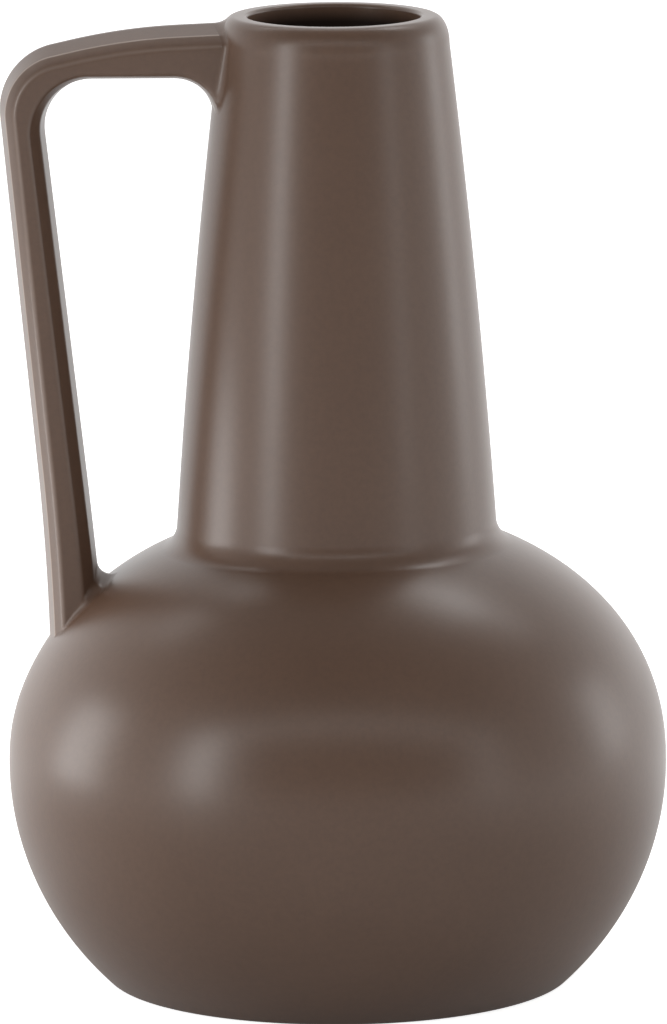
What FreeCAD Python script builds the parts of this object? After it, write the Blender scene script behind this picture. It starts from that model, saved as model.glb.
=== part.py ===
import FreeCAD, Part
import math
import os

# Handled jug vase of glazed ceramic, in millimetres.
# It stands on z = 0 with its axis on Z, and the handle is on the -X side.

# Whole vase
height = 245.0
overrun = 5.0

# Globe: each half of its side is a quarter of a superellipse
belly_radius = 83.0
belly_height = 55.5
shoulder_fullness = 2.17
foot_fullness = 2.0
globe_wall = 6.0

# Base: a floor slab with a flat ring to stand on and a recess inside the ring
foot_radius = 58.0
heel_round = 2.8
base_height = 8.0
ring_width = 7.0
ring_depth = 1.6

# Neck
seat_height = 112.9
neck_foot_radius = 40.5
lip_radius = 28.4
neck_swell = 0.8
neck_wall = 6.6

# Slip that joins the pieces
slip_thickness = 0.5
neck_lute_round = 6.0
handle_lute_width = 1.5

# Handle seen from the front: an arm from the neck, a corner and a leaning leg
arm_drop = 2.4
arm_root_thickness = 12.8
arm_slope = 0.045
arm_bend_share = 0.6283
arm_bend_round_share = 0.4
corner_drop = 11.3
handle_reach = 83.4
reach_drop = 28.0
leg_top_thickness = 10.8
leg_foot_thickness = 12.7
leg_foot_reach_share = 0.79
corner_round = 17.0
inner_corner_round = 12.0
armpit_round = 7.5
armpit_bite = 0.8

# Handle across its depth: the mould draws from the middle plane to both faces
handle_depth = 22.4
drafted_depth = 16.0
draft_inset = 1.55
bevel_inset = 2.3
ridge_round = 1.0

curve_steps = 8
full_turn = 360.0


def at(radius, level):
    """Point in the XZ plane."""
    return FreeCAD.Vector(radius, 0, level)


def line(start, end):
    return Part.LineSegment(start, end).toShape()


def arc(start, middle, end):
    return Part.Arc(start, middle, end).toShape()


def end_of(edge):
    return edge.valueAt(edge.LastParameter)


def revolved(edges):
    """Solid made by turning a closed profile round the Z axis."""
    wire = Part.Wire(Part.__sortEdges__(edges))
    return Part.Face(wire).revolve(at(0, 0), FreeCAD.Vector(0, 0, 1), full_turn)


def slice_between(solid, low, high):
    slab = Part.makeCylinder(belly_radius + overrun, high - low, at(0, low))
    return solid.common(slab)


def circle_edges(solid, radius, level):
    """Edges of a solid that run round the axis at one radius and level."""
    near = slip_thickness / 10
    found = []
    for edge in solid.Edges:
        middle = edge.valueAt((edge.FirstParameter + edge.LastParameter) / 2)
        beside = math.hypot(middle.x, middle.y) - radius
        if math.hypot(beside, middle.z - level) < near:
            found.append(edge)
    return found


def quarter(widest, rise, fullness, radius):
    """How far a superellipse quarter is from its widest level, at a radius."""
    return rise * (1 - (radius / widest) ** fullness) ** (1 / fullness)


def foot_rise():
    """Rise of the lower quarter whose side passes through the edge of the foot."""
    return belly_height / quarter(belly_radius, 1, foot_fullness, foot_radius)


def shoulder_rise():
    """Rise of the upper quarter whose side passes through the foot of the neck."""
    rise = seat_height - belly_height
    return rise / quarter(belly_radius, 1, shoulder_fullness, neck_foot_radius)


def side_edge(widest, rise, fullness, end_radius):
    """Side of the globe from its widest place to end_radius; a negative rise goes down."""
    end_turn = math.asin(quarter(widest, 1, fullness, end_radius))
    points = []
    for step in range(curve_steps + 1):
        sine = math.sin(end_turn * step / curve_steps)
        radius = widest * (1 - sine**fullness) ** (1 / fullness)
        points.append(at(radius, belly_height + rise * sine))
    upright = at(0, math.copysign(1, rise))
    spline = Part.BSplineCurve()
    spline.interpolate(
        Points=points,
        Tangents=[upright] + [at(1, 0)] * curve_steps,
        TangentFlags=[True] + [False] * curve_steps,
    )
    return spline.toShape()


def lip_level():
    """Level at which the side of the neck runs into the round of the lip."""
    return height - neck_wall / 2


def neck_radius(level):
    """Outside radius of the neck."""
    share = (level - seat_height) / (lip_level() - seat_height)
    straight = neck_foot_radius + (lip_radius - neck_foot_radius) * share
    return straight + 4 * neck_swell * share * (1 - share)


def outer_edges(grow):
    """Outside of the pot from the foot to the lip, moved out by grow."""
    widest = belly_radius + grow
    lower = side_edge(widest, -foot_rise() - grow, foot_fullness, foot_radius)
    rise = shoulder_rise() + grow
    upper = side_edge(widest, rise, shoulder_fullness, neck_foot_radius + grow)
    seat = end_of(upper)
    top = at(lip_radius + grow, lip_level())
    middle_level = (seat.z + top.z) / 2
    side = arc(seat, at(neck_radius(middle_level) + grow, middle_level), top)
    return [lower, upper, side]


def inner_edges():
    """Inside of the pot from the lip to the middle of the floor."""
    widest = belly_radius - globe_wall
    bore = neck_foot_radius - neck_wall
    rise = shoulder_rise() - globe_wall
    upper = side_edge(widest, rise, shoulder_fullness, bore)
    deep = foot_rise() - globe_wall
    floor_sine = (belly_height - base_height) / deep
    floor_radius = widest * (1 - floor_sine**foot_fullness) ** (1 / foot_fullness)
    lower = side_edge(widest, -deep, foot_fullness, floor_radius)
    seat = at(bore, seat_height)
    return [
        line(at(lip_radius - neck_wall, lip_level()), seat),
        line(seat, end_of(upper)),
        upper,
        lower,
        line(end_of(lower), at(0, base_height)),
    ]


def pot():
    """The hollow pot in one piece, with sharp corners at the heel and the neck."""
    recess = foot_radius - ring_width
    underside = [
        line(at(0, base_height), at(0, ring_depth)),
        line(at(0, ring_depth), at(recess, ring_depth)),
        line(at(recess, ring_depth), at(recess, 0)),
        line(at(recess, 0), at(foot_radius, 0)),
    ]
    outside = at(lip_radius, lip_level())
    inside = at(lip_radius - neck_wall, lip_level())
    lip = arc(outside, at(lip_radius - neck_wall / 2, height), inside)
    return revolved(underside + outer_edges(0) + [lip] + inner_edges())


def filled_pot(grow):
    """Outer form of the pot as a solid, moved out by grow."""
    edges = outer_edges(grow)
    foot = end_of(edges[0])
    middle = at(lip_radius - neck_wall / 2, lip_level())
    round_radius = neck_wall / 2 + grow
    halfway = math.sqrt(1 / 2) * round_radius
    crest = middle + at(0, round_radius)
    lip = arc(end_of(edges[2]), middle + at(halfway, halfway), crest)
    closing = [
        line(crest, at(0, crest.z)),
        line(at(0, crest.z), at(0, foot.z)),
        line(at(0, foot.z), foot),
    ]
    return revolved(edges + [lip] + closing)


def with_neck_round(solid):
    """Solid with the hollow round between the globe and the neck filled in."""
    return solid.makeFillet(neck_lute_round, circle_edges(solid, neck_foot_radius, seat_height))


def base():
    slab = slice_between(pot(), -overrun, base_height)
    return slab.makeFillet(heel_round, circle_edges(slab, foot_radius, 0))


def globe():
    return slice_between(pot(), base_height, seat_height)


def neck():
    return slice_between(pot(), seat_height + slip_thickness, height + overrun)


def neck_lute():
    """Slip under the neck, with the hollow round that was smoothed outside it."""
    joined = slice_between(with_neck_round(pot()), base_height, height + overrun)
    return joined.cut(globe()).cut(neck())


def crossing(start, along, other_start, other_along):
    """Point where two lines in the XZ plane cross."""
    apart = other_start - start
    turn = along.x * other_along.z - along.z * other_along.x
    return start + along * ((apart.x * other_along.z - apart.z * other_along.x) / turn)


def rounded_wire(corners):
    """Closed wire through (point, round) corners; a round of zero leaves the corner sharp."""
    edges = []
    starts = []
    ends = []
    for index, (point, corner_radius) in enumerate(corners):
        back = (corners[index - 1][0] - point).normalize()
        ahead = (corners[(index + 1) % len(corners)][0] - point).normalize()
        half_angle = back.getAngle(ahead) / 2
        tangent = corner_radius / math.tan(half_angle)
        starts.append(point + back * tangent)
        ends.append(point + ahead * tangent)
        if corner_radius:
            inwards = (back + ahead).normalize()
            depth = corner_radius / math.sin(half_angle) - corner_radius
            edges.append(arc(starts[-1], point + inwards * depth, ends[-1]))
    for index, end in enumerate(ends):
        edges.append(line(end, starts[(index + 1) % len(starts)]))
    return Part.Wire(Part.__sortEdges__(edges))


def handle_outline(grow):
    """Handle seen from the front, moved out by grow and run on into the pot at both ends."""
    across = at(1, 0)
    foot_reach = leg_foot_reach_share * belly_radius
    shoulder = quarter(belly_radius, shoulder_rise(), shoulder_fullness, foot_reach)
    foot_level = belly_height + shoulder
    reach_level = height - reach_drop
    half_foot = leg_foot_thickness / 2 + grow
    outer_top = at(-handle_reach - grow, reach_level)
    outer_leg = at(-foot_reach - half_foot, foot_level) - outer_top
    inner_top = at(-handle_reach + leg_top_thickness + grow, reach_level)
    inner_leg = at(-foot_reach + half_foot, foot_level) - inner_top

    top = height - arm_drop
    under = top - arm_root_thickness - grow
    root = -lip_radius / 2
    arm_root = at(root, top + grow + arm_slope * (lip_radius + root))
    bend_reach = arm_bend_share * handle_reach
    bend = at(-bend_reach, top + grow - arm_slope * (bend_reach - lip_radius))
    corner = crossing(at(0, height - corner_drop + grow), across, outer_top, outer_leg)
    bend_half_angle = (arm_root - bend).getAngle(corner - bend) / 2
    bend_tangent = arm_bend_round_share * (corner - bend).Length
    inner_corner = crossing(at(0, under), across, inner_top, inner_leg)
    armpit = at(armpit_bite - neck_radius(under), under)
    armpit_end_level = under - 2 * armpit_round
    armpit_end = at(armpit_bite - neck_radius(armpit_end_level), armpit_end_level)
    return rounded_wire([
        (arm_root, 0),
        (bend, bend_tangent * math.tan(bend_half_angle)),
        (corner, corner_round + grow),
        (crossing(at(0, belly_height), across, outer_top, outer_leg), 0),
        (crossing(at(0, belly_height), across, inner_top, inner_leg), 0),
        (inner_corner, inner_corner_round - grow),
        (armpit, armpit_round - grow),
        (armpit_end, 0),
        (at(root, armpit_end_level), 0),
    ])


def handle_strap(grow):
    """Solid between the two faces of the handle, widest at its middle plane."""
    outline = handle_outline(grow)
    bevel = [draft_inset + bevel_inset, handle_depth / 2 + grow]
    draft = [draft_inset, drafted_depth / 2]
    stations = [(bevel[0], -bevel[1]), (draft[0], -draft[1]), (0, 0), draft, bevel]
    wires = []
    for inset, depth in stations:
        wire = outline.makeOffset2D(-inset) if inset else outline.copy()
        wire.translate(FreeCAD.Vector(0, depth, 0))
        wires.append(wire)
    return Part.makeLoft(wires, True, True)


def soft_strap():
    """The handle's strap with its long ridges rounded."""
    strap = handle_strap(0)
    ridges = []
    for edge in strap.Edges:
        start, end = edge.Vertexes[0].Point, edge.Vertexes[-1].Point
        along = abs(start.y - end.y) < ridge_round / 10
        if along and abs(start.y) > drafted_depth / 4:
            ridges.append(edge)
    return strap.makeFillet(ridge_round, ridges)


def handle():
    return soft_strap().cut(with_neck_round(filled_pot(0)))


def handle_lutes():
    """Beads of slip round both ends of the handle, the lower one first."""
    around = handle_strap(handle_lute_width).common(filled_pot(handle_lute_width))
    skin = around.cut(with_neck_round(filled_pot(0)))
    beads = skin.cut(soft_strap())
    return sorted(beads.Solids, key=lambda bead: bead.CenterOfMass.z)


def export(name, shape):
    shape.exportStep("parts/" + name + ".step")
    volume = round(shape.Volume / 1000, 2)
    print(name, len(shape.Solids), "solid", volume, "ml", "valid" if shape.isValid() else "broken")


os.makedirs("parts", exist_ok=True)
export("base", base())
export("globe", globe())
export("neck", neck())
export("neck_lute", neck_lute())
export("handle", handle())
foot_bead, top_bead = handle_lutes()
export("handle_foot_lute", foot_bead)
export("handle_top_lute", top_bead)
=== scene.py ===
import bmesh
import bpy
import math
from mathutils import Matrix, Vector
from mathutils.bvhtree import BVHTree


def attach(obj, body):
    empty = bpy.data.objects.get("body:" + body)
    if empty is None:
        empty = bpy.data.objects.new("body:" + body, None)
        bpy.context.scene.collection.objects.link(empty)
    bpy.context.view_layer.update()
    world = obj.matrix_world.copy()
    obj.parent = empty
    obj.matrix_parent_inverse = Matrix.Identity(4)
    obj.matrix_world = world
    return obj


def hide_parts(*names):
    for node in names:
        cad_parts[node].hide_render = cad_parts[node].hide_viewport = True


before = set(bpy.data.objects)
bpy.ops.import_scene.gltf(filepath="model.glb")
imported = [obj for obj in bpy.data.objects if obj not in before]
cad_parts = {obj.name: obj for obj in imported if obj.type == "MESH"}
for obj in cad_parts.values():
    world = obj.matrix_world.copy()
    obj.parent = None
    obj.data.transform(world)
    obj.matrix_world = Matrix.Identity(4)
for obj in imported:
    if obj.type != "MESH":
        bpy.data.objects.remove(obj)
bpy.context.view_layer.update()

# Lengths are in millimetres, as a potter measures, and become metres in the meshes.
MM = 0.001
BODY = "root"

# Pot
HEIGHT = 245.0
BELLY_RADIUS = 83.0
BELLY_HEIGHT = 55.5
SHOULDER_FULLNESS = 2.17
FOOT_FULLNESS = 2.0
GLOBE_WALL = 6.0
FOOT_RADIUS = 58.0
HEEL_ROUND = 2.8
BASE_HEIGHT = 8.0
RING_WIDTH = 7.0
RING_DEPTH = 1.6
RING_ROUND = 0.6
SEAT_HEIGHT = 112.9
NECK_FOOT_RADIUS = 40.5
LIP_RADIUS = 28.4
NECK_SWELL = 0.8
NECK_WALL = 6.6
SLIP_THICKNESS = 0.5
NECK_LUTE_ROUND = 7.0

# The lip is nearly flat on top, with a wide outer round and a crisp inner one.
LIP_OUTER_WIDTH = 3.9
LIP_OUTER_DROP = 7.0
LIP_INNER_ROUND = 1.0

# Handle seen from the front: the arm, its bend, the outer corner and the leg
ROOT_REACH = 24.0
ARM_DROP = 1.55
ARM_THICKNESS = 14.05
ARM_SLOPE = 0.045
ARMPIT_ROUND = 9.5
ARMPIT_BITE = 0.5
BEND_REACH = 52.4
BEND_TANGENT = 13.4
CORNER_DROP = 10.05
CORNER_ROUND = 17.0
INNER_CORNER_ROUND = 12.0
HANDLE_REACH = 83.4
REACH_DROP = 28.0
LEG_TOP_THICKNESS = 10.95
LEG_FOOT_THICKNESS = 12.85
LEG_FOOT_REACH = 65.57
FLARE_RISE = 34.0
OUTER_FLARE = 0.9
INNER_FLARE = 0.35

# The leg's outer side runs on below the shoulder's level, and its inner side ends above it.
OUTER_LEG_SINK = 10.0
INNER_LEG_RISE = 0.5

# Handle across its depth: from the nose to the ridge of the draft and to the front ridge
DRAFT_DEPTH = 8.0
DRAFT_INSET = 1.55
ARM_TOP_DRAFT_INSET = 2.25
INNER_DRAFT_INSET = 0.95
FACE_DEPTH = 11.2
LEG_FACE_INSET = 3.85
ARM_TOP_FACE_INSET = 4.5
ARM_UNDER_FACE_INSET = 2.0
NOSE_ROUND = 5.0
DRAFT_RIDGE_ROUND = 2.4
FACE_RIDGE_ROUND = 1.8

# How much painted highlight each point of a ridge's round gets, from the face's side outwards
FACE_RIDGE_HIGHLIGHT = (0.0, 0.15, 0.3, 0.3, 0.15, 0.0)
DRAFT_RIDGE_HIGHLIGHT = (0.1, 0.5, 1.0, 1.0, 0.6, 0.15)
INNER_RIDGE_HIGHLIGHT = (0.0, 0.05, 0.1, 0.1, 0.05, 0.0)

# Hollow rounds where the handle is luted to the pot: at the outer nose, at the outer and
# the inner end of the faces, and at the inner nose. The noses' rounds give way to the
# faces' between two depths of the strap. The collar's hidden corner lies buried.
TOP_LUTE_ROUNDS = (6.0, 2.0, 4.5, 1.5)
FOOT_LUTE_ROUNDS = (0.9, 1.0, 2.4, 3.4)
LUTE_NOSE_DEPTHS = (2, 9)
LUTE_BURIED = 0.5

# The shoulder has settled a little on the handle's side. Between the first two levels each
# change sets in, and between the last two it fades.
SLUMP_DROP = 1.4
SLUMP_DROP_LEVELS = (58, 92, 118, 150)
SLUMP_INWARD = 0.7
SLUMP_INWARD_LEVELS = (58, 85, 100, 113)

# Near-black painted shade starts below the lip and soon covers the wall. It is drawn where the
# pot is nearer to the axis than this radius: on the top of the bore and the floor's middle.
PAINTED_SHADE_RADIUS = 23.2
PAINTED_SHADE_TOP = 243.6
PAINTED_SHADE_FULL = 240.5
PAINTED_SHADE_COVER = 0.9

# How finely the curves are divided
TURNS = 240
SIDE_STEPS = 110
ROUND_STEPS = 10
LIP_STEPS = 16
RIDGE_STEPS = 5
FACE_STEPS = 6
LUTE_STEPS = 8

# Points of a mesh that are nearer than this become one.
TURNED_MERGE = 0.002
WRAPPED_MERGE = 0.0005

# Edges that turn by more degrees than this are shaded as sharp.
SHARP_ANGLE = 35

# Sockets of a Mix node that mixes colours: its two colours, and what comes out
FIRST, SECOND, MIXED = 6, 7, 2


def mix(start, end, share):
    """Value that lies a share of the way from start to end."""
    return start + (end - start) * share


def ease(value, start, end):
    """Goes smoothly from 0 at start to 1 at end."""
    share = min(max((value - start) / (end - start), 0), 1)
    return share * share * (3 - 2 * share)


def swell(level, starts, whole, fades, gone):
    """Goes smoothly from 0 to 1 and back to 0 over four levels."""
    return ease(level, starts, whole) * (1 - ease(level, fades, gone))


# Pot profiles: lists of (radius, level)


def quarter(widest, rise, fullness, radius):
    """How far a superellipse quarter is from its widest level, at a radius."""
    return rise * (1 - (radius / widest) ** fullness) ** (1 / fullness)


def globe_side(widest, rise, fullness, end_radius, steps=SIDE_STEPS):
    """Side of the globe from its widest place to end_radius; a negative rise goes down."""
    end_turn = math.asin(quarter(widest, 1, fullness, end_radius))
    side = []
    for step in range(steps + 1):
        sine = math.sin(end_turn * step / steps)
        side.append((widest * (1 - sine**fullness) ** (1 / fullness), BELLY_HEIGHT + rise * sine))
    return side


FOOT_RISE = BELLY_HEIGHT / quarter(BELLY_RADIUS, 1, FOOT_FULLNESS, FOOT_RADIUS)
SHOULDER_RISE = (SEAT_HEIGHT - BELLY_HEIGHT) / quarter(
    BELLY_RADIUS, 1, SHOULDER_FULLNESS, NECK_FOOT_RADIUS
)
LIP_LEVEL = HEIGHT - NECK_WALL / 2
BORE_FOOT_RADIUS = NECK_FOOT_RADIUS - NECK_WALL


def neck_radius(level):
    """Outer radius of the neck, whose side swells a little between its foot and the lip."""
    share = (level - SEAT_HEIGHT) / (LIP_LEVEL - SEAT_HEIGHT)
    return mix(NECK_FOOT_RADIUS, LIP_RADIUS, share) + 4 * NECK_SWELL * share * (1 - share)


def bore_radius(level):
    """Inner radius of the neck."""
    share = (level - SEAT_HEIGHT) / (LIP_LEVEL - SEAT_HEIGHT)
    return mix(BORE_FOOT_RADIUS, LIP_RADIUS - NECK_WALL, share)


def radius_at(level, widest, rise, fullness):
    """Radius of the lower side of the globe at a level."""
    return widest * (1 - ((BELLY_HEIGHT - level) / rise) ** fullness) ** (1 / fullness)


def arc(centre, radius, start_degrees, end_degrees, steps=ROUND_STEPS, stretch=1.0):
    """Arc in a profile, stretched along the levels."""
    points = []
    for step in range(steps + 1):
        turn = math.radians(mix(start_degrees, end_degrees, step / steps))
        along = (math.cos(turn) * radius, math.sin(turn) * radius * stretch)
        points.append((centre[0] + along[0], centre[1] + along[1]))
    return points


def corner_round(before, corner, after, radius, steps=ROUND_STEPS):
    """Arc that rounds a corner between two straight runs, as 2D vectors."""
    before, corner, after = Vector(before), Vector(corner), Vector(after)
    back, ahead = (before - corner).normalized(), (after - corner).normalized()
    half = back.angle(ahead) / 2
    centre = corner + (back + ahead).normalized() * (radius / math.sin(half))
    start = corner + back * (radius / math.tan(half)) - centre
    sweep = math.pi - 2 * half
    if back.x * ahead.y - back.y * ahead.x > 0:
        sweep = -sweep
    arms = [Matrix.Rotation(sweep * step / steps, 2) @ start for step in range(steps + 1)]
    return [centre + arm for arm in arms]


def base_profile():
    """From the middle of the recess below, round the foot ring, to the middle of the floor."""
    side_steps = 15
    recess = FOOT_RADIUS - RING_WIDTH
    side_end = radius_at(BASE_HEIGHT, BELLY_RADIUS, FOOT_RISE, FOOT_FULLNESS)
    side = []
    for step in range(side_steps + 1):
        level = BASE_HEIGHT * step / side_steps
        side.append((radius_at(level, BELLY_RADIUS, FOOT_RISE, FOOT_FULLNESS), level))
    ceiling, wall, ring = (recess, RING_DEPTH), (recess, 0.0), (FOOT_RADIUS, 0.0)
    above_heel = side[2]
    profile = [(0.0, RING_DEPTH), (recess / 2, RING_DEPTH)]
    profile += corner_round((0.0, RING_DEPTH), ceiling, wall, RING_ROUND)
    profile += corner_round(ceiling, wall, ring, RING_ROUND)
    heel = corner_round(wall, ring, above_heel, HEEL_ROUND)
    profile += heel + [point for point in side if point[1] > heel[-1][1] + SLIP_THICKNESS]
    return profile + [(side_end / 2, BASE_HEIGHT), (0.0, BASE_HEIGHT)]


def globe_profile():
    """Round the wall of the globe, from its foot up the outside and back down the inside."""
    foot = radius_at(BASE_HEIGHT, BELLY_RADIUS, FOOT_RISE, FOOT_FULLNESS)
    widest, deep = BELLY_RADIUS - GLOBE_WALL, FOOT_RISE - GLOBE_WALL
    floor_radius = radius_at(BASE_HEIGHT, widest, deep, FOOT_FULLNESS)
    lower = globe_side(BELLY_RADIUS, -FOOT_RISE, FOOT_FULLNESS, foot)
    upper = globe_side(BELLY_RADIUS, SHOULDER_RISE, SHOULDER_FULLNESS, NECK_FOOT_RADIUS)
    rise = SHOULDER_RISE - GLOBE_WALL
    inner_upper = globe_side(widest, rise, SHOULDER_FULLNESS, BORE_FOOT_RADIUS, steps=50)
    inner_lower = globe_side(widest, -deep, FOOT_FULLNESS, floor_radius, steps=40)
    bore = [(BORE_FOOT_RADIUS, SEAT_HEIGHT)]
    return lower[:0:-1] + upper + bore + inner_upper[::-1] + inner_lower[1:]


def neck_lute_round():
    """The hollow round at the foot of the neck, from the globe up to the neck."""
    fine_steps, halvings = 3000, 30
    side = globe_side(BELLY_RADIUS, SHOULDER_RISE, SHOULDER_FULLNESS, NECK_FOOT_RADIUS, fine_steps)
    near = NECK_FOOT_RADIUS + 4 * NECK_LUTE_ROUND
    side = [Vector(point) for point in side if point[0] < near]
    low, high = SEAT_HEIGHT, SEAT_HEIGHT + 2 * NECK_LUTE_ROUND
    for halving in range(halvings):
        level = (low + high) / 2
        on_neck = Vector((neck_radius(level), level))
        lean = neck_radius(level) - neck_radius(level + 1)
        centre = on_neck + Vector((1, lean)).normalized() * NECK_LUTE_ROUND
        on_globe = min(side, key=lambda point: (point - centre).length)
        if (on_globe - centre).length < NECK_LUTE_ROUND:
            low = level
        else:
            high = level
    start, end = on_globe - centre, on_neck - centre
    sweep = start.angle(end)
    steps = 2 * ROUND_STEPS
    arms = [Matrix.Rotation(-sweep * step / steps, 2) @ start for step in range(steps + 1)]
    return [tuple(centre + arm) for arm in arms]


def neck_lute_profile():
    """The slip under the neck, out along the globe, over the hollow round and down the neck."""
    down_steps = 5
    hollow = neck_lute_round()
    side = globe_side(BELLY_RADIUS, SHOULDER_RISE, SHOULDER_FULLNESS, NECK_FOOT_RADIUS)
    covered = [point for point in side if point[1] > hollow[0][1]][::-1]
    top = SEAT_HEIGHT + SLIP_THICKNESS
    down = []
    for step in range(1, down_steps + 1):
        level = mix(hollow[-1][1], top, step / down_steps)
        down.append((neck_radius(level), level))
    bore = [(bore_radius(top), top), (BORE_FOOT_RADIUS, SEAT_HEIGHT)]
    return covered + hollow + down + bore


def neck_profile():
    """Up the outside of the neck, over the lip and down the bore."""
    outside_steps, bore_steps = 100, 40
    foot = SEAT_HEIGHT + SLIP_THICKNESS
    shoulder = HEIGHT - LIP_OUTER_DROP
    profile = []
    for step in range(outside_steps):
        level = mix(foot, shoulder, step / outside_steps)
        profile.append((neck_radius(level), level))
    crest = neck_radius(shoulder) - LIP_OUTER_WIDTH
    stretch = LIP_OUTER_DROP / LIP_OUTER_WIDTH
    profile += arc((crest, shoulder), LIP_OUTER_WIDTH, 0, 90, LIP_STEPS, stretch)
    inner = HEIGHT - LIP_INNER_ROUND
    bore = bore_radius(inner)
    profile += arc((bore + LIP_INNER_ROUND, inner), LIP_INNER_ROUND, 90, 180)
    for step in range(1, bore_steps + 1):
        level = mix(inner, foot, step / bore_steps)
        profile.append((bore_radius(level), level))
    return profile


# Meshes


def turned(profile, closed=True):
    """Body of revolution; an open profile starts and ends on the axis."""
    mesh = bmesh.new()
    verts = [mesh.verts.new((radius * MM, 0, level * MM)) for radius, level in profile]
    edges = [mesh.edges.new(pair) for pair in zip(verts, verts[1:])]
    if closed:
        edges.append(mesh.edges.new((verts[-1], verts[0])))
    bmesh.ops.spin(
        mesh,
        geom=verts + edges,
        cent=(0, 0, 0),
        axis=(0, 0, 1),
        angle=2 * math.pi,
        steps=TURNS,
        use_merge=True,
    )
    bmesh.ops.remove_doubles(mesh, verts=mesh.verts, dist=TURNED_MERGE * MM)
    bmesh.ops.recalc_face_normals(mesh, faces=mesh.faces)
    return mesh


def slumped(mesh):
    """Lets the shoulder sink and draw in on the handle's side, as it did in the kiln."""
    for vert in mesh.verts:
        radius = max(vert.co.xy.length, MM)
        side = max(-vert.co.x / radius, 0) ** 2
        level = vert.co.z / MM
        drop = SLUMP_DROP * swell(level, *SLUMP_DROP_LEVELS)
        inward = SLUMP_INWARD * swell(level, *SLUMP_INWARD_LEVELS)
        vert.co.z -= drop * side * MM
        vert.co.xy *= 1 - inward * side * MM / radius
    return mesh


def wrapped(rings, closed, ridge_highlight=()):
    """A grid wrapped over rings of points; closed joins the last ring to the first.

    Where a painted highlight is given for each place of a ring, each vertex keeps how much of it
    lies at its place.
    """
    around, along = len(rings[0]), len(rings)
    spans = along if closed else along - 1
    mesh = bmesh.new()
    ridge_highlight_layer = mesh.verts.layers.float.new("painted_ridge_highlight")
    grid = bmesh.ops.create_grid(mesh, x_segments=around, y_segments=spans, size=0.5)
    for vert in grid["verts"]:
        ring = round((vert.co.y + 0.5) * spans) % along
        place = round((vert.co.x + 0.5) * around) % around
        vert.co = rings[ring][place]
        if ridge_highlight:
            vert[ridge_highlight_layer] = ridge_highlight[place]
    bmesh.ops.remove_doubles(mesh, verts=mesh.verts, dist=WRAPPED_MERGE * MM)
    if not closed:
        bmesh.ops.holes_fill(mesh, edges=[edge for edge in mesh.edges if edge.is_boundary])
    bmesh.ops.recalc_face_normals(mesh, faces=mesh.faces)
    return mesh


def piece(mesh, name, node, material):
    """Turns a mesh into a named object that stands for a CAD node."""
    data = bpy.data.meshes.new(name)
    mesh.to_mesh(data)
    mesh.free()
    data.shade_smooth()
    data.set_sharp_from_angle(angle=math.radians(SHARP_ANGLE))
    made = bpy.data.objects.new(name, data)
    bpy.context.scene.collection.objects.link(made)
    data.materials.append(material)
    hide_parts(node)
    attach(made, BODY)


# Handle rails: lists of (point, normal) in the XZ plane, the normal pointing out of the strap


def crossing(start, along, other_start, other_along):
    """Point where two lines cross."""
    apart = other_start - start
    turn = along.x * other_along.y - along.y * other_along.x
    return start + along * ((apart.x * other_along.y - apart.y * other_along.x) / turn)


def rail(spans, side):
    """Points and normals along runs of points; side is 1 for the outer rail, -1 for the inner."""
    points = [Vector(spans[0][0])]
    for span in spans:
        points += [Vector(point) for point in span[1:]]
    stations = []
    for index, point in enumerate(points):
        ahead = points[min(index + 1, len(points) - 1)]
        back = points[max(index - 1, 0)]
        along = (ahead - back).normalized()
        stations.append((point, Vector((along.y, -along.x)) * side))
    return stations


def run(start, end, steps):
    """Evenly spaced points on a straight run, with both of its ends."""
    return [Vector(start).lerp(Vector(end), step / steps) for step in range(steps + 1)]


def flared(points, foot, flare):
    """Bends the lower end of the leg outwards."""
    bent = []
    for point in points:
        share = max(foot + FLARE_RISE - point.y, 0) / FLARE_RISE
        bent.append(point - Vector((flare * share * share, 0)))
    return bent


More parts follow.
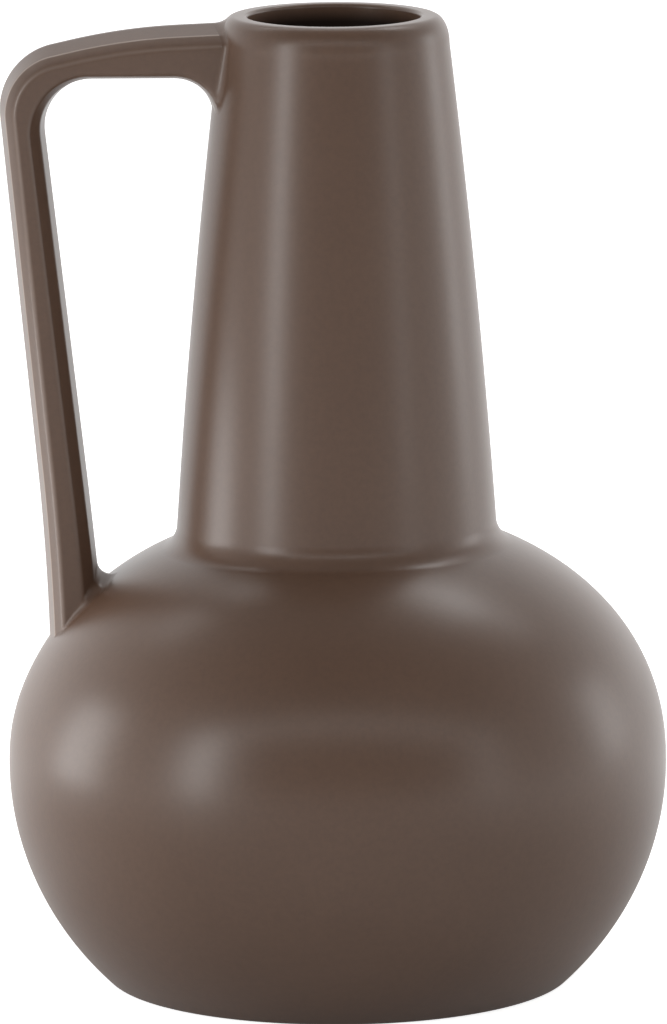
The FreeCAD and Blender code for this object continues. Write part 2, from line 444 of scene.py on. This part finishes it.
def handle_rails():
    """The outer and the inner rail of the strap, station by station, and how far round the
    corner each station is, from 0 on the arm to 1 on the leg."""
    root_steps, bend_steps, fall_steps, corner_steps, leg_steps = 18, 22, 6, 30, 110
    bend_share = 0.8
    shoulder = quarter(BELLY_RADIUS, SHOULDER_RISE, SHOULDER_FULLNESS, LEG_FOOT_REACH)
    foot_level, reach_level = BELLY_HEIGHT + shoulder, HEIGHT - REACH_DROP
    half_foot = LEG_FOOT_THICKNESS / 2
    outer_top = Vector((-HANDLE_REACH, reach_level))
    outer_leg = Vector((-LEG_FOOT_REACH - half_foot, foot_level)) - outer_top
    inner_top = Vector((-HANDLE_REACH + LEG_TOP_THICKNESS, reach_level))
    inner_leg = Vector((-LEG_FOOT_REACH + half_foot, foot_level)) - inner_top
    outer_foot, inner_foot = foot_level - OUTER_LEG_SINK, foot_level + INNER_LEG_RISE
    across = Vector((1, 0))
    top = HEIGHT - ARM_DROP
    under = top - ARM_THICKNESS

    root = Vector((-ROOT_REACH, top + ARM_SLOPE * (LIP_RADIUS - ROOT_REACH)))
    bend = Vector((-BEND_REACH, top - ARM_SLOPE * (BEND_REACH - LIP_RADIUS)))
    corner = crossing(Vector((0, HEIGHT - CORNER_DROP)), across, outer_top, outer_leg)
    outer_end = crossing(Vector((0, outer_foot)), across, outer_top, outer_leg)
    half_bend = (root - bend).angle(corner - bend) / 2
    bend_arc = corner_round(root, bend, corner, BEND_TANGENT * math.tan(half_bend), bend_steps)
    corner_arc = corner_round(bend, corner, outer_end, CORNER_ROUND, corner_steps)
    outer = rail([
        run(root, bend_arc[0], root_steps),
        bend_arc,
        run(bend_arc[-1], corner_arc[0], fall_steps),
        corner_arc,
        flared(run(corner_arc[-1], outer_end, leg_steps), foot_level, OUTER_FLARE),
    ], 1)

    inner_corner = crossing(Vector((0, under)), across, inner_top, inner_leg)
    inner_end = crossing(Vector((0, inner_foot)), across, inner_top, inner_leg)
    armpit = Vector((ARMPIT_BITE - neck_radius(under), under))
    below = under - 2 * ARMPIT_ROUND
    armpit_end = Vector((ARMPIT_BITE - neck_radius(below), below))
    armpit_arc = corner_round(armpit_end, armpit, inner_corner, ARMPIT_ROUND, root_steps)
    inner_arc = corner_round(armpit, inner_corner, inner_end, INNER_CORNER_ROUND, corner_steps)
    middle = armpit_arc[-1].lerp(inner_arc[0], bend_share)
    inner = rail([
        armpit_arc,
        run(armpit_arc[-1], middle, bend_steps),
        run(middle, inner_arc[0], fall_steps),
        inner_arc,
        flared(run(inner_arc[-1], inner_end, leg_steps), foot_level, INNER_FLARE),
    ], -1)

    before = root_steps + bend_steps + fall_steps
    corner_shares = []
    for index in range(len(outer)):
        corner_shares.append(min(max((index - before) / corner_steps, 0), 1))
    return outer, inner, corner_shares


def section_side(draft_inset, face_inset):
    """One side of the strap's section as (inset, depth), from the front face to the back one."""
    corners = [
        (2 * face_inset, -FACE_DEPTH),
        (face_inset, -FACE_DEPTH),
        (draft_inset, -DRAFT_DEPTH),
        (0.0, 0.0),
        (draft_inset, DRAFT_DEPTH),
        (face_inset, FACE_DEPTH),
        (2 * face_inset, FACE_DEPTH),
    ]
    rounds = [FACE_RIDGE_ROUND, DRAFT_RIDGE_ROUND, NOSE_ROUND, DRAFT_RIDGE_ROUND, FACE_RIDGE_ROUND]
    points = []
    for index, radius in enumerate(rounds, 1):
        before, corner, after = corners[index - 1 : index + 2]
        points += corner_round(before, corner, after, radius, RIDGE_STEPS)
    return points


def placed(station, inset_depth):
    """A point of the section at a station of a rail, in metres."""
    point = station[0] - station[1] * inset_depth.x
    return Vector((point.x, inset_depth.y, point.y)) * MM


def across_face(start, end):
    """Points on a face of the strap, without its two ends."""
    return [start.lerp(end, step / FACE_STEPS) for step in range(1, FACE_STEPS)]


def strap_rings():
    """Rings of points along the strap, and each place's share from the outer to the inner side."""
    rings = []
    for outer, inner, share in zip(*handle_rails()):
        draft = mix(ARM_TOP_DRAFT_INSET, DRAFT_INSET, share)
        outer_side = section_side(draft, mix(ARM_TOP_FACE_INSET, LEG_FACE_INSET, share))
        inner_face = mix(ARM_UNDER_FACE_INSET, LEG_FACE_INSET, share)
        inner_side = section_side(INNER_DRAFT_INSET, inner_face)
        outer_points = [placed(outer, point) for point in outer_side]
        inner_points = [placed(inner, point) for point in reversed(inner_side)]
        back = across_face(outer_points[-1], inner_points[0])
        front = across_face(inner_points[-1], outer_points[0])
        rings.append(outer_points + back + inner_points + front)
    face = [step / FACE_STEPS for step in range(1, FACE_STEPS)]
    shares = [0] * len(outer_side) + face + [1] * len(inner_side) + face[::-1]
    return rings, shares


def ridge_highlight_places():
    """How much painted highlight lies at each place of a ring of the strap."""
    even = (0.0,) * (RIDGE_STEPS + 1)
    outer = FACE_RIDGE_HIGHLIGHT + DRAFT_RIDGE_HIGHLIGHT + even
    outer += DRAFT_RIDGE_HIGHLIGHT[::-1] + FACE_RIDGE_HIGHLIGHT[::-1]
    inner = INNER_RIDGE_HIGHLIGHT + even * 3 + INNER_RIDGE_HIGHLIGHT[::-1]
    face = (0.0,) * (FACE_STEPS - 1)
    return outer + face + inner + face


def off_surface(tree, point):
    """Signed distance from a surface and the direction away from it."""
    near, normal, _, distance = tree.find_nearest(point)
    away = point - near
    if away.dot(normal) < 0:
        return -distance, -away.normalized()
    return distance, away.normalized()


def rolled_ball(strap, pot, start, radius):
    """Centre of a ball that touches strap and pot, and the directions away from both."""
    tries, least_spread = 25, 0.05
    centre = start
    for attempt in range(tries):
        strap_gap, strap_away = off_surface(strap, centre)
        pot_gap, pot_away = off_surface(pot, centre)
        lean = strap_away.dot(pot_away)
        strap_miss, pot_miss = radius - strap_gap, radius - pot_gap
        spread = max(1 - lean * lean, least_spread)
        centre = centre + strap_away * ((strap_miss - lean * pot_miss) / spread)
        centre = centre + pot_away * ((pot_miss - lean * strap_miss) / spread)
    return centre, strap_away, pot_away


def lute(strap, pot, rings, shares, rounds):
    """Closed collar of slip with a hollow round between the strap and the pot.

    The rings start inside the pot. Each place of a ring is followed to where it comes out.
    """
    outer_nose, outer_face, inner_face, inner_nose = rounds
    least_opening = 0.3
    sections = []
    for place, share in enumerate(shares):
        inside = rings[0][place]
        nose = outer_nose if share < 0.5 else inner_nose
        face = mix(outer_face, inner_face, share)
        depth = abs(inside.y) / MM
        radius = mix(nose, face, ease(depth, *LUTE_NOSE_DEPTHS)) * MM
        for ring in rings:
            outside = ring[place]
            if off_surface(pot, outside)[0] > 0:
                break
            inside = outside
        strap_away = strap.find_nearest(inside)[1]
        pot_away = off_surface(pot, outside)[1]
        start = inside + (strap_away + pot_away) * radius
        centre, strap_away, pot_away = rolled_ball(strap, pot, start, radius)
        section = []
        for step in range(LUTE_STEPS + 1):
            away = strap_away.slerp(pot_away, step / LUTE_STEPS)
            section.append(centre - away * radius)
        between = (strap_away + pot_away).normalized()
        corner = radius / max(strap_away.dot(between), least_opening)
        sections.append(section + [centre - between * (corner + LUTE_BURIED * MM)])
    return wrapped(sections, closed=True)


# Materials


def linear(hex_colour):
    """Linear colour of an sRGB hex value."""
    channels = []
    for start in (0, 2, 4):
        value = int(hex_colour[start : start + 2], 16) / 255
        channels.append(value / 12.92 if value <= 0.04045 else ((value + 0.055) / 1.055) ** 2.4)
    return (*channels, 1.0)


def per(size_mm):
    """Texture scale that makes one feature of that size."""
    return 1 / (size_mm * MM)


def add(tree, kind, inputs, **settings):
    """Adds a node with its settings; inputs gives each socket a value or a socket to link."""
    made = tree.nodes.new(kind)
    for name, value in settings.items():
        setattr(made, name, value)
    for name, value in inputs.items():
        if isinstance(value, bpy.types.NodeSocket):
            tree.links.new(value, made.inputs[name])
        else:
            made.inputs[name].default_value = value
    return made


def satin_glaze():
    """Satin brown stoneware glaze, dipped and fired: a soft sheen over an eggshell surface.

    The colour drifts a little over the pot and the coat has fine mottling. A painted highlight
    lightens the handle's ridges, and painted shade darkens the top of the bore to near black.
    """
    dark_brown, light_brown, speck = linear("5E4739"), linear("664E3F"), linear("4A3930")
    # The near-black colour is painted shade for the top of the bore; the light brown is a painted
    # highlight for the handle's ridges.
    painted_shade_black, highlight_brown = linear("120C0A"), linear("9A887D")
    drift_size, mottle_size, eggshell_size = 38, 1.6, 0.9
    eggshell_height = 0.1
    material = bpy.data.materials.new("satin_brown_stoneware_glaze")
    material.use_nodes = True
    tree = material.node_tree
    tree.nodes.clear()
    place = add(tree, "ShaderNodeTexCoord", {}).outputs["Object"]

    drift = {"Vector": place, "Scale": per(drift_size), "Detail": 2}
    drift = add(tree, "ShaderNodeTexNoise", drift)
    brown = {"Factor": drift.outputs["Fac"], FIRST: dark_brown, SECOND: light_brown}
    brown = add(tree, "ShaderNodeMix", brown, data_type="RGBA")

    mottle = {"Vector": place, "Scale": per(mottle_size), "Detail": 3, "Roughness": 0.6}
    mottle = add(tree, "ShaderNodeTexNoise", mottle)
    fleck = {
        "Value": mottle.outputs["Fac"],
        "From Min": 0.35,
        "From Max": 0.7,
        "To Min": 0,
        "To Max": 0.22,
    }
    fleck = add(tree, "ShaderNodeMapRange", fleck)
    mottled = {"Factor": fleck.outputs["Result"], FIRST: brown.outputs[MIXED], SECOND: speck}
    mottled = add(tree, "ShaderNodeMix", mottled, data_type="RGBA")

    # Painted shade covers what is near the axis, above the recess of the foot and below the lip.
    split = add(tree, "ShaderNodeSeparateXYZ", {"Vector": place})
    flat = {"X": split.outputs["X"], "Y": split.outputs["Y"]}
    flat = add(tree, "ShaderNodeCombineXYZ", flat).outputs["Vector"]
    radius = add(tree, "ShaderNodeVectorMath", {0: flat}, operation="LENGTH").outputs["Value"]
    within = {0: PAINTED_SHADE_RADIUS * MM, 1: radius}
    within = add(tree, "ShaderNodeMath", within, operation="GREATER_THAN")
    above = {0: split.outputs["Z"], 1: 2 * RING_DEPTH * MM}
    above = add(tree, "ShaderNodeMath", above, operation="GREATER_THAN")
    depth = {
        "Value": split.outputs["Z"],
        "From Min": PAINTED_SHADE_TOP * MM,
        "From Max": PAINTED_SHADE_FULL * MM,
        "To Min": 0,
        "To Max": PAINTED_SHADE_COVER,
    }
    depth = add(tree, "ShaderNodeMapRange", depth)
    inside = {0: within.outputs[0], 1: above.outputs[0]}
    inside = add(tree, "ShaderNodeMath", inside, operation="MULTIPLY")
    inside = {0: inside.outputs[0], 1: depth.outputs["Result"]}
    inside = add(tree, "ShaderNodeMath", inside, operation="MULTIPLY")
    bore_shaded = {"Factor": inside.outputs[0], FIRST: mottled.outputs[MIXED], SECOND: painted_shade_black}
    bore_shaded = add(tree, "ShaderNodeMix", bore_shaded, data_type="RGBA")

    # Painted highlight along the handle's ridges, kept on the strap's vertices, mixes in a light
    # brown.
    ridge_highlight = add(tree, "ShaderNodeAttribute", {}, attribute_name="painted_ridge_highlight")
    ridge_highlighted = {"Factor": ridge_highlight.outputs["Fac"], FIRST: bore_shaded.outputs[MIXED], SECOND: highlight_brown}
    ridge_highlighted = add(tree, "ShaderNodeMix", ridge_highlighted, data_type="RGBA")

    eggshell = {"Vector": place, "Scale": per(eggshell_size), "Detail": 2}
    eggshell = add(tree, "ShaderNodeTexNoise", eggshell).outputs["Fac"]
    bump = {"Height": eggshell, "Strength": 0.12, "Distance": eggshell_height * MM}
    bump = add(tree, "ShaderNodeBump", bump)
    sheen = {
        "Value": drift.outputs["Fac"],
        "From Min": 0.3,
        "From Max": 0.7,
        "To Min": 0.32,
        "To Max": 0.35,
    }
    sheen = add(tree, "ShaderNodeMapRange", sheen)
    glaze = {
        "Base Color": ridge_highlighted.outputs[MIXED],
        "Roughness": sheen.outputs["Result"],
        "Normal": bump.outputs["Normal"],
        "IOR": 1.52,
    }
    glaze = add(tree, "ShaderNodeBsdfPrincipled", glaze)
    add(tree, "ShaderNodeOutputMaterial", {"Surface": glaze.outputs["BSDF"]})
    return material


def pale_floor():
    """Matt white paper. The camera and reflections see it lifted to white, with a faint shadow.

    Close to the vase and in front of it, the glow that reflections see is turned down as
    painted shade, so the glaze mirrors less there.
    """
    paper_grey = linear("DDDDDD")
    camera_lift, painted_shade_lean = 0.85, 0.7
    material = bpy.data.materials.new("matt_white_paper")
    material.use_nodes = True
    tree = material.node_tree
    tree.nodes.clear()
    path = add(tree, "ShaderNodeLightPath", {})
    place = add(tree, "ShaderNodeTexCoord", {}).outputs["Object"]
    split = add(tree, "ShaderNodeSeparateXYZ", {"Vector": place})
    away = add(tree, "ShaderNodeVectorMath", {0: place}, operation="LENGTH")
    behind = {0: split.outputs["Y"], 1: painted_shade_lean, 2: away.outputs["Value"]}
    behind = add(tree, "ShaderNodeMath", behind, operation="MULTIPLY_ADD")
    # Painted shade on the glow that reflections see: less of it near the vase and in front of it.
    painted_shade = {
        "Value": behind.outputs[0],
        "From Min": 0.1,
        "From Max": 0.5,
        "To Min": 0.12,
        "To Max": 0.85,
    }
    painted_shade = add(tree, "ShaderNodeMapRange", painted_shade)
    mirrored = {0: path.outputs["Is Glossy Ray"], 1: path.outputs["Is Transmission Ray"]}
    mirrored = add(tree, "ShaderNodeMath", mirrored, operation="MAXIMUM")
    mirrored = {0: mirrored.outputs[0], 1: painted_shade.outputs["Result"]}
    mirrored = add(tree, "ShaderNodeMath", mirrored, operation="MULTIPLY")
    seen = {0: path.outputs["Is Camera Ray"], 1: camera_lift}
    seen = add(tree, "ShaderNodeMath", seen, operation="MULTIPLY")
    lift = add(tree, "ShaderNodeMath", {0: seen.outputs[0], 1: mirrored.outputs[0]})
    paper = add(tree, "ShaderNodeBsdfDiffuse", {"Color": paper_grey})
    glow = add(tree, "ShaderNodeEmission", {"Strength": lift.outputs[0]})
    both = add(tree, "ShaderNodeAddShader", {0: paper.outputs[0], 1: glow.outputs[0]})
    add(tree, "ShaderNodeOutputMaterial", {"Surface": both.outputs[0]})
    return material


# Stage, in metres


def camera():
    """Long lens from ten degrees above, where the photograph was taken."""
    distance, elevation, roll = 2.5167, 0.18, 0.0051
    sensor, frame_height, focal_pixels = 36.0, 1024, 10000
    right_pixels, up_pixels = -3, -14
    data = bpy.data.cameras.new("camera")
    data.sensor_width = sensor
    data.lens = sensor * focal_pixels / frame_height
    data.shift_x = right_pixels / frame_height
    data.shift_y = up_pixels / frame_height
    data.clip_end = 50
    made = bpy.data.objects.new("camera", data)
    bpy.context.scene.collection.objects.link(made)
    target = Vector((0, 0, HEIGHT / 2 * MM))
    back = Vector((0, -math.cos(elevation), math.sin(elevation)))
    made.location = target + back * distance
    made.rotation_euler = (
        Matrix.Rotation(math.pi / 2 - elevation, 3, "X") @ Matrix.Rotation(-roll, 3, "Z")
    ).to_euler()
    bpy.context.scene.camera = made


def softbox(name, azimuth, elevation, distance, width, height, power):
    """Area light aimed at the middle of the vase; azimuth 0 is at the camera, 90 at the left."""
    aim = Vector((0, 0, 0.12))
    data = bpy.data.lights.new(name, "AREA")
    data.shape = "RECTANGLE"
    data.size, data.size_y = width, height
    data.energy = power
    made = bpy.data.objects.new(name, data)
    bpy.context.scene.collection.objects.link(made)
    turn, lift = math.radians(azimuth), math.radians(elevation)
    away = Vector((
        -math.sin(turn) * math.cos(lift), -math.cos(turn) * math.cos(lift), math.sin(lift)
    ))
    made.location = aim + away * distance
    made.rotation_euler = away.to_track_quat("Z", "Y").to_euler()
    made.visible_camera = False


def studio_world():
    """Bright walls and ceiling behind and beside the table, dimmer in front."""
    front_wall, back_wall, front_ceiling, back_ceiling = 0.3, 1.9, 0.0, 0.6
    # Where the room's parts begin and end, along Y and up Z of the way that a ray looks
    front, back, wall, ceiling = -0.9, 0.6, 0.15, 0.95
    world = bpy.data.worlds.new("studio")
    bpy.context.scene.world = world
    world.use_nodes = True
    tree = world.node_tree
    tree.nodes.clear()
    way = add(tree, "ShaderNodeTexCoord", {}).outputs["Generated"]
    split = add(tree, "ShaderNodeSeparateXYZ", {"Vector": way})
    bands = []
    for in_front, behind in ((front_wall, back_wall), (front_ceiling, back_ceiling)):
        band = {
            "Value": split.outputs["Y"],
            "From Min": front,
            "From Max": back,
            "To Min": in_front,
            "To Max": behind,
        }
        bands.append(add(tree, "ShaderNodeMapRange", band).outputs["Result"])
    level = {
        "Value": split.outputs["Z"],
        "From Min": wall,
        "From Max": ceiling,
        "To Min": bands[0],
        "To Max": bands[1],
    }
    level = add(tree, "ShaderNodeMapRange", level)
    room = add(tree, "ShaderNodeBackground", {"Strength": level.outputs["Result"]})
    white = add(tree, "ShaderNodeBackground", {"Strength": 1.0})
    path = add(tree, "ShaderNodeLightPath", {})
    seen = {"Fac": path.outputs["Is Camera Ray"], 1: room.outputs[0], 2: white.outputs[0]}
    seen = add(tree, "ShaderNodeMixShader", seen)
    add(tree, "ShaderNodeOutputWorld", {"Surface": seen.outputs[0]})


def floor():
    """Paper a hair below the foot ring, so that the two don't share a plane."""
    half_width, gap = 9, 0.05 * MM
    mesh = bmesh.new()
    below = Matrix.Translation((0, 0, -gap))
    bmesh.ops.create_grid(mesh, x_segments=1, y_segments=1, size=half_width, matrix=below)
    data = bpy.data.meshes.new("floor")
    mesh.to_mesh(data)
    mesh.free()
    made = bpy.data.objects.new("floor", data)
    bpy.context.scene.collection.objects.link(made)
    data.materials.append(pale_floor())


# Making

bpy.context.scene.view_settings.view_transform = "Standard"
camera()
floor()
studio_world()

# Name, azimuth and elevation in degrees, distance, width and height in metres, watts
softbox("left_softbox", 49, 7, 1.5, 0.26, 0.95, 6.3)
softbox("right_softbox", -53, 7, 1.5, 0.26, 0.95, 1.3)
softbox("left_card", 85.5, -7.5, 0.21, 0.07, 0.1, 0.092)
softbox("right_wall_softbox", -111, 7, 1.6, 0.4, 0.7, 2.4)
softbox("front_strip", 0, 34, 1.5, 2.6, 0.1, 3.5)
softbox("back_strip", 180, 65, 1.5, 2.6, 0.16, 5)
softbox("back_right_softbox", -136, 58, 1.6, 0.5, 0.2, 1.6)

glaze = satin_glaze()
globe_mesh = slumped(turned(globe_profile()))
neck_mesh = slumped(turned(neck_profile()))
rings, shares = strap_rings()
strap_mesh = wrapped(rings, closed=False, ridge_highlight=ridge_highlight_places())
globe_tree = BVHTree.FromBMesh(globe_mesh)
neck_tree = BVHTree.FromBMesh(neck_mesh)
strap_tree = BVHTree.FromBMesh(strap_mesh)
top_lute_mesh = lute(strap_tree, neck_tree, rings, shares, TOP_LUTE_ROUNDS)
foot_lute_mesh = lute(strap_tree, globe_tree, rings[::-1], shares, FOOT_LUTE_ROUNDS)

piece(turned(base_profile(), closed=False), "Pot_Base", "base", glaze)
piece(globe_mesh, "Globe", "globe", glaze)
piece(slumped(turned(neck_lute_profile())), "Neck_Lute", "neck_lute", glaze)
piece(neck_mesh, "Neck", "neck", glaze)
piece(strap_mesh, "Handle", "handle", glaze)
piece(top_lute_mesh, "Handle_Top_Lute", "handle_top_lute", glaze)
piece(foot_lute_mesh, "Handle_Foot_Lute", "handle_foot_lute", glaze)
